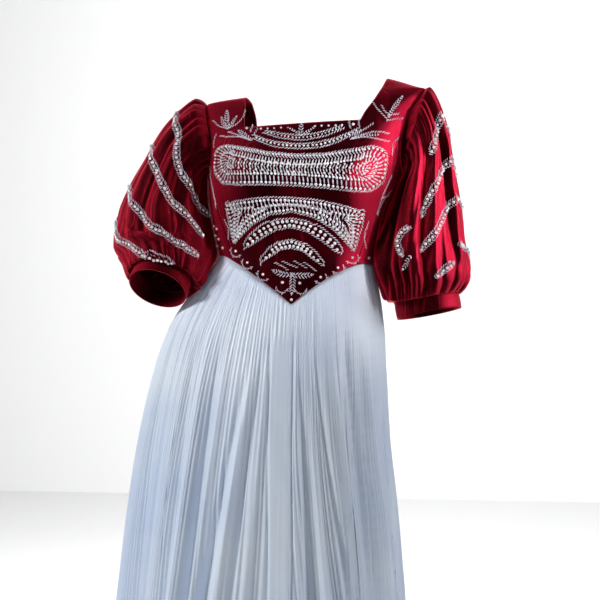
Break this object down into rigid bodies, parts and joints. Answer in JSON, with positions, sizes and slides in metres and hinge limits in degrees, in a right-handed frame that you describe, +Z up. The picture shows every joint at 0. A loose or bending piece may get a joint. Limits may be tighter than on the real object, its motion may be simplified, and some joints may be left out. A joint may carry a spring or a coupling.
{
  "type": "embroidered gown",
  "caption": "Long gown with a square-necked velvet bodice, pointed waist, gathered balloon sleeves on cuffs, silver bead embroidery and a finely pleated white skirt.",
  "frame": {"origin": "midway between the two shoulder ends, where the wearer's shoulders carry the gown", "axes": "+Z up, the front faces -Y, +X towards the wearer's left"},
  "size_m": [0.6469, 0.5255, 1.4196],
  "materials": {
    "velvet": "crushed silk velvet with a soft sheen",
    "pleated": "fine pressed pleats, softly shiny",
    "embroidery": "silver beads and twisted cord"
  },
  "bodies": {
    "root": {"bodice_front": "velvet", "side_front_left": "velvet", "side_front_right": "velvet", "bodice_back_left": "velvet", "bodice_back_right": "velvet", "sleeve_left_front": "velvet", "sleeve_left_back": "velvet", "sleeve_right_front": "velvet", "sleeve_right_back": "velvet", "cuff_left": "velvet", "cuff_right": "velvet", "skirt_front_left": "pleated", "skirt_side_front_left": "pleated", "skirt_side_back_left": "pleated", "skirt_back_left": "pleated", "skirt_back_right": "pleated", "skirt_side_back_right": "pleated", "skirt_side_front_right": "pleated", "skirt_front_right": "pleated", "band_bust": "embroidery", "band_fan": "embroidery", "band_arch": "embroidery", "band_crest": "embroidery"}
  },
  "joints": []
}
